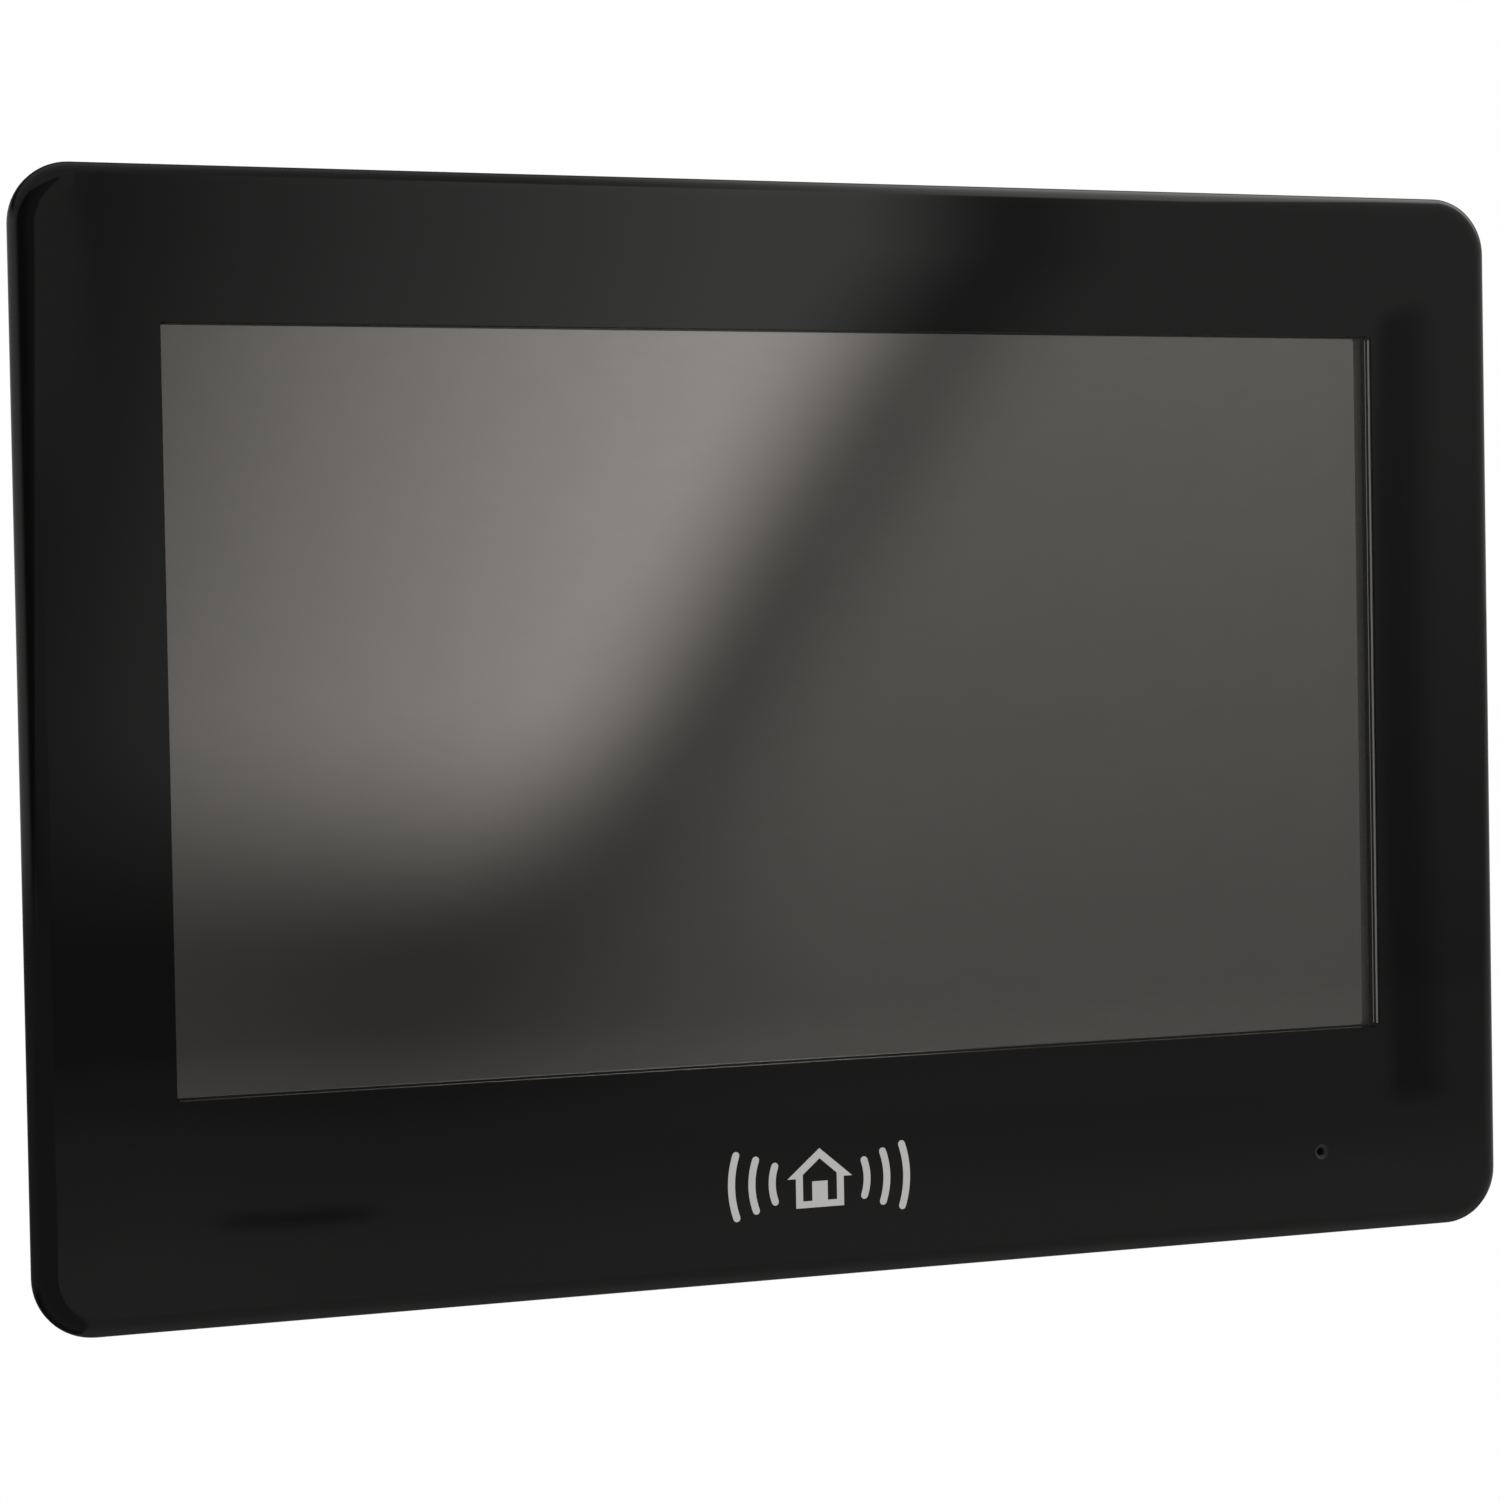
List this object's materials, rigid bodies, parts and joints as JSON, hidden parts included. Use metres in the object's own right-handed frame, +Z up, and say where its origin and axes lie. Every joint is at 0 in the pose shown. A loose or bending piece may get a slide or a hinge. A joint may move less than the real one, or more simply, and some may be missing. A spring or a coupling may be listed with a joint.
{
  "type": "video intercom monitor",
  "caption": "Thin wall-hung video intercom monitor: glossy black front with a wide touch display, sloped rear cover with connectors, on a hooked steel wall bracket.",
  "frame": {"origin": "on the wall, at the centre of the wall-box screw pattern, on the bracket's back face", "axes": "+X to the viewer's right, +Y into the wall, +Z up"},
  "size_m": [0.189, 0.0269, 0.1298],
  "materials": {
    "bracket_steel": "zinc-plated sheet steel, satin",
    "piano_black": "high-gloss moulded black, mirror-like",
    "clear_window": "clear, polished, flush with the front",
    "foam": "matt closed-cell foam tape",
    "display_face": "dark warm-grey display polariser, anti-glare",
    "light_guide": "milky light guide and diffuser films",
    "tray_steel": "bright stamped steel",
    "flex_film": "amber polyimide film",
    "screw_steel": "zinc-plated",
    "black_screw": "black-oxide steel",
    "housing_black": "fine-textured matt black moulding",
    "label_paper": "blank satin label film",
    "circuit_board": "green solder resist",
    "chip_epoxy": "matt black epoxy",
    "tin_plate": "bright tin plate",
    "part_sleeve": "satin sleeve",
    "connector_ivory": "ivory connector plastic",
    "contact_gold": "gold-plated contacts",
    "terminal_green": "green moulded terminal plastic",
    "card_black": "satin black card",
    "button_cap": "satin off-white plunger",
    "cone_paper": "treated paper cone",
    "magnet_steel": "plated magnet cup",
    "boot_rubber": "soft black rubber"
  },
  "bodies": {
    "bracket": {"wall_bracket": "bracket_steel"},
    "monitor": {"front_cover": "piano_black", "window_pane": "clear_window", "display_gasket": "foam", "lcd_panel": "display_face", "backlight": "light_guide", "lcd_tray": "tray_steel", "lcd_flex": "flex_film", "support_plate": "tray_steel", "frame_screws": "screw_steel", "rear_cover": "housing_black", "cover_screws": "black_screw", "rating_label": "label_paper", "main_board": "circuit_board", "board_screws": "screw_steel", "main_processor": "chip_epoxy", "memory_chips": "chip_epoxy", "shield_can": "tin_plate", "power_transformer": "part_sleeve", "capacitors": "part_sleeve", "inductors": "chip_epoxy", "flex_connector": "connector_ivory", "ethernet_jack": "tin_plate", "jack_contacts": "contact_gold", "terminal_header": "terminal_green", "header_pins": "tin_plate", "card_socket": "tin_plate", "reset_switch": "chip_epoxy", "speaker_frame": "housing_black", "speaker_cone": "cone_paper", "speaker_magnet": "magnet_steel", "speaker_gasket": "foam", "microphone": "tin_plate", "mic_boot": "boot_rubber"},
    "terminal_plug": {"terminal_plug": "terminal_green", "clamp_screws": "screw_steel"},
    "memory_card": {"memory_card": "card_black"},
    "reset_button": {"reset_button": "button_cap"}
  },
  "joints": [
    {"name": "monitor_lift", "type": "slide", "parent": "bracket", "child": "monitor", "axis": [0, 0, 1], "range_m": [0, 0.008]},
    {"name": "plug_pull", "type": "slide", "parent": "monitor", "child": "terminal_plug", "axis": [0, 0, -1], "range_m": [0, 0.008]},
    {"name": "card_pull", "type": "slide", "parent": "monitor", "child": "memory_card", "axis": [0, 0, -1], "range_m": [0, 0.013]},
    {"name": "reset_press", "type": "slide", "parent": "monitor", "child": "reset_button", "axis": [0, 0, 1], "range_m": [0, 0.0003], "stiffness_N_per_m": 4000}
  ]
}
